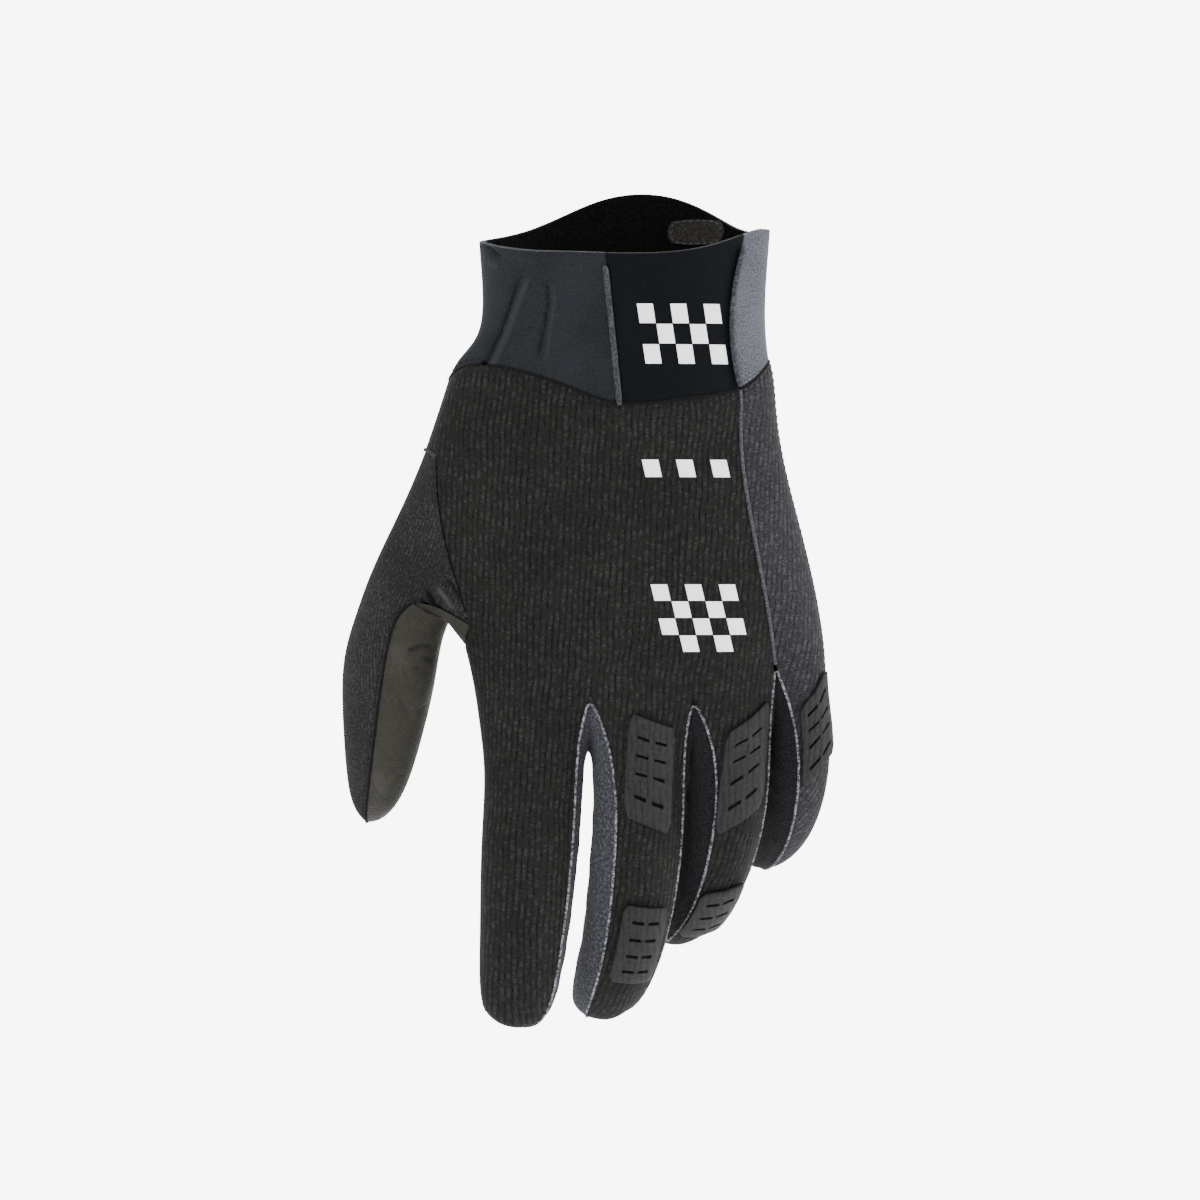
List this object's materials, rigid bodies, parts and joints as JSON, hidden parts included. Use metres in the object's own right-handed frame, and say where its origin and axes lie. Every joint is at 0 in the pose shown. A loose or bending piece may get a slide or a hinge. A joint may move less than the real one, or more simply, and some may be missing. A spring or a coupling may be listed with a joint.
{
  "type": "motocross glove",
  "caption": "Light left-hand motocross glove with a ribbed knit back, leather palm, vented knuckle prints and a slip-on cuff, shaped as worn with the fingers hanging down.",
  "frame": {"origin": "middle of the cuff's opening, where the hand goes in", "axes": "+Z out of the cuff's opening, along the forearm; -Y out of the back of the hand; -X towards the thumb"},
  "size_m": [0.14, 0.0787, 0.2411],
  "materials": {
    "backhand": "ribbed stretch knit",
    "outer_side": "heathered stretch knit",
    "thumb_back": "fine stretch knit",
    "palm": "matt synthetic leather",
    "thumb_front": "matt synthetic leather",
    "fork_index_middle": "speckled microfleece",
    "fork_middle_ring": "speckled microfleece",
    "fork_ring_little": "speckled microfleece",
    "cuff_thumb_side": "pressed neoprene-backed knit",
    "cuff_back": "smooth matt moulded cuff",
    "cuff_outer_side": "pressed neoprene-backed knit",
    "cuff_front": "black neoprene-backed knit",
    "cuff_welt_thumb_side": "matt raised welt",
    "cuff_welt_outer_side": "matt raised welt",
    "knuckle_pad_middle": "satin moulded vent print",
    "knuckle_pad_ring": "satin moulded vent print",
    "knuckle_pad_little": "satin moulded vent print",
    "finger_pad_middle": "satin moulded vent print",
    "finger_pad_ring": "satin moulded vent print"
  },
  "bodies": {
    "root": {"backhand": "backhand", "outer_side": "outer_side", "thumb_back": "thumb_back", "palm": "palm", "thumb_front": "thumb_front", "fork_index_middle": "fork_index_middle", "fork_middle_ring": "fork_middle_ring", "fork_ring_little": "fork_ring_little", "cuff_thumb_side": "cuff_thumb_side", "cuff_back": "cuff_back", "cuff_outer_side": "cuff_outer_side", "cuff_front": "cuff_front", "cuff_welt_thumb_side": "cuff_welt_thumb_side", "cuff_welt_outer_side": "cuff_welt_outer_side", "knuckle_pad_middle": "knuckle_pad_middle", "knuckle_pad_ring": "knuckle_pad_ring", "knuckle_pad_little": "knuckle_pad_little", "finger_pad_middle": "finger_pad_middle", "finger_pad_ring": "finger_pad_ring"}
  },
  "joints": []
}
